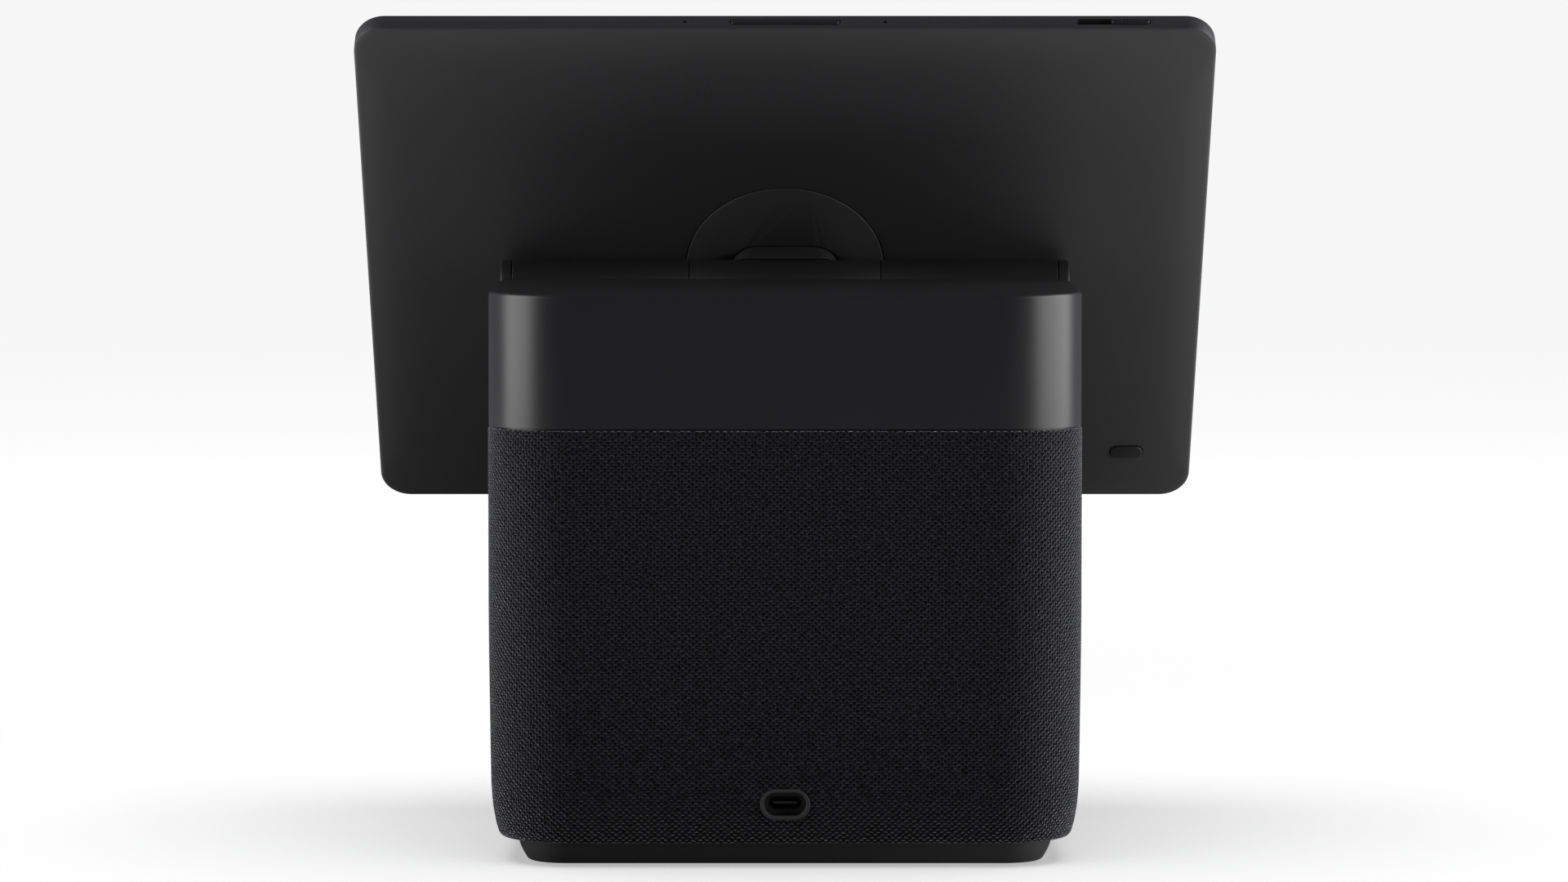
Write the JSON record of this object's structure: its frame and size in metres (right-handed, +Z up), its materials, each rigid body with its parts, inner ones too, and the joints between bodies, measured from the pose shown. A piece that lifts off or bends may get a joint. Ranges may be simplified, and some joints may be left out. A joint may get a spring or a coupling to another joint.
{
  "type": "smart speaker with tilting display",
  "caption": "Fabric-covered speaker block with a rounded plan and a smooth collar, carrying a large flat touch display that tilts on a full-width hinge bar at its top front edge.",
  "frame": {"origin": "centre of the rubber foot's underside, on the surface that the speaker stands on", "axes": "+Z up, -Y towards the user and the screen, +X to the right of a user in front of the screen"},
  "size_m": [0.25, 0.1656, 0.2407],
  "materials": {
    "rubber": "matt black rubber",
    "matte_plastic": "fine matt texture",
    "satin_plastic": "satin",
    "inner_plastic": "moulded, matt",
    "woven_fabric": "tight woven mesh",
    "steel": "plated",
    "cast_alloy": "cast",
    "painted_alloy": "black powder coat",
    "magnet": "sintered",
    "cone": "pressed cone",
    "circuit_board": "solder mask",
    "front_glass": "polished, black behind",
    "screen_cell": "switched off",
    "lens_glass": "coated",
    "cable": "film"
  },
  "bodies": {
    "speaker": {"foot_pad": "rubber", "lid_gasket": "rubber", "woofer_surround": "rubber", "radiator_surround_left": "rubber", "radiator_surround_right": "rubber", "base_plinth": "matte_plastic", "port_bezel": "matte_plastic", "port_tongue": "matte_plastic", "collar": "satin_plastic", "hinge_cheek_left": "matte_plastic", "hinge_cheek_right": "matte_plastic", "cabinet": "inner_plastic", "acoustic_lid": "inner_plastic", "tweeter_left": "inner_plastic", "tweeter_right": "inner_plastic", "fabric_sleeve": "woven_fabric", "base_screw_1": "steel", "base_screw_2": "steel", "base_screw_3": "steel", "base_screw_4": "steel", "hinge_shaft_left": "steel", "hinge_shaft_right": "steel", "hinge_bracket": "steel", "woofer_basket": "steel", "port_shell": "steel", "heat_sink": "cast_alloy", "woofer_magnet": "magnet", "tweeter_dome_left": "cone", "tweeter_dome_right": "cone", "amplifier_board": "circuit_board"},
    "screen": {"hinge_barrel": "matte_plastic", "torque_sleeve_left": "steel", "torque_sleeve_right": "steel", "hinge_neck": "painted_alloy", "neck_screw_1": "steel", "neck_screw_2": "steel", "neck_screw_3": "steel", "neck_screw_4": "steel", "hub_disc": "matte_plastic", "back_cover": "matte_plastic", "mid_frame": "inner_plastic", "shield_plate": "steel", "display_panel": "screen_cell", "front_glass": "front_glass", "main_board": "circuit_board", "display_cable": "cable", "camera_module": "inner_plastic", "camera_lens": "lens_glass", "volume_switch_board": "circuit_board", "mute_switch": "inner_plastic", "microphone_left": "steel", "microphone_right": "steel"},
    "woofer": {"woofer_cone": "cone"},
    "radiator_left": {"radiator_plate_left": "cast_alloy"},
    "radiator_right": {"radiator_plate_right": "cast_alloy"},
    "volume": {"volume_rocker": "satin_plastic"},
    "shutter": {"shutter_knob": "satin_plastic", "shutter_blade": "matte_plastic"},
    "mute": {"mute_button": "satin_plastic"}
  },
  "joints": [
    {"name": "screen_tilt", "type": "hinge", "parent": "speaker", "child": "screen", "pos_m": [0, -0.0441, 0.1606], "axis": [-1, 0, 0], "range_deg": [-35, 23]},
    {"name": "volume_rock", "type": "hinge", "parent": "screen", "child": "volume", "pos_m": [0, -0.00552, 0.2373], "axis": [0, 0.7997, -0.6004], "range_deg": [-1.5, 1.5], "stiffness_Nm_per_rad": 0.5},
    {"name": "shutter_slide", "type": "slide", "parent": "screen", "child": "shutter", "axis": [1, 0, 0], "range_m": [0, 0.0101]},
    {"name": "mute_press", "type": "slide", "parent": "screen", "child": "mute", "axis": [0, -0.7997, 0.6004], "range_m": [0, 0.0008], "stiffness_N_per_m": 1200},
    {"name": "woofer_stroke", "type": "slide", "parent": "speaker", "child": "woofer", "axis": [0, -1, 0], "range_m": [-0.003, 0.003], "stiffness_N_per_m": 800},
    {"name": "radiator_stroke_left", "type": "slide", "parent": "speaker", "child": "radiator_left", "axis": [-1, 0, 0], "range_m": [-0.003, 0.003], "stiffness_N_per_m": 600},
    {"name": "radiator_stroke_right", "type": "slide", "parent": "speaker", "child": "radiator_right", "axis": [1, 0, 0], "range_m": [-0.003, 0.003], "stiffness_N_per_m": 600}
  ]
}
